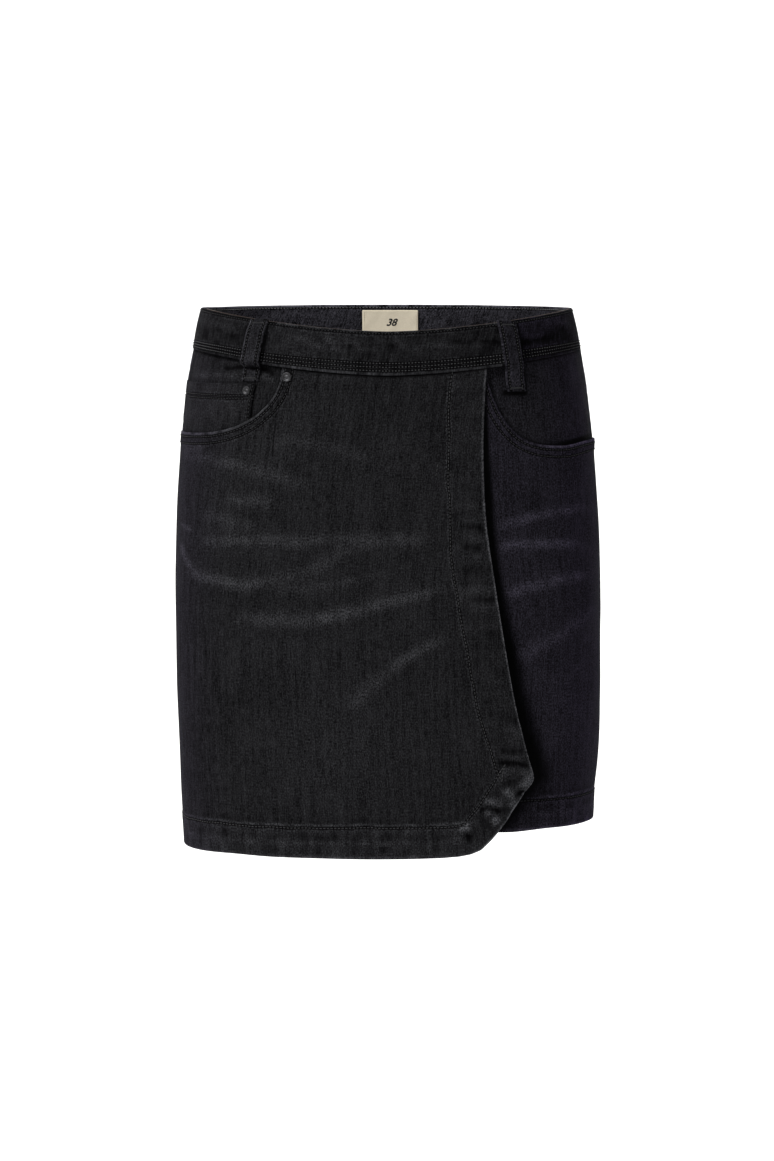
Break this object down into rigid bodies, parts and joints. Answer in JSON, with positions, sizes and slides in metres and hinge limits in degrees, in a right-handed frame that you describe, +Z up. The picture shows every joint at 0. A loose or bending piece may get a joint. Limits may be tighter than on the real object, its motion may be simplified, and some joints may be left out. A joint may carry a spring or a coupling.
{
  "type": "denim wrap skort",
  "caption": "Black denim skort in its worn, hollow form: shorts with a wrap panel over the front, a waistband with belt loops and scooped front pockets.",
  "frame": {"origin": "middle of the waist opening, halfway down the side of the waistband, where the wearer's waist holds the skort", "axes": "+Z up, front faces -Y, the wearer's right is at -X"},
  "size_m": [0.3687, 0.2477, 0.463],
  "materials": {
    "black_denim": "washed black denim, matt, with a fine vertical slub and faint lighter whiskers",
    "brown_tape": "brown woven tape",
    "cream_label": "cream woven label, bare",
    "grey_metal": "dull grey metal rivets"
  },
  "bodies": {
    "root": {"waistband_wrap": "black_denim", "waistband_front": "black_denim", "waistband_back": "black_denim", "belt_loop_front_right": "black_denim", "belt_loop_front_left": "black_denim", "belt_loop_back_right": "black_denim", "belt_loop_back_centre": "black_denim", "belt_loop_back_left": "black_denim", "wrap_panel": "black_denim", "pocket_backing_right": "black_denim", "coin_pocket": "black_denim", "pocket_backing_left": "black_denim", "front_right": "black_denim", "front_left": "black_denim", "back_right": "black_denim", "back_left": "black_denim", "waist_tape": "brown_tape", "waist_label": "cream_label", "rivet_pocket": "grey_metal", "rivet_coin": "grey_metal"}
  },
  "joints": []
}
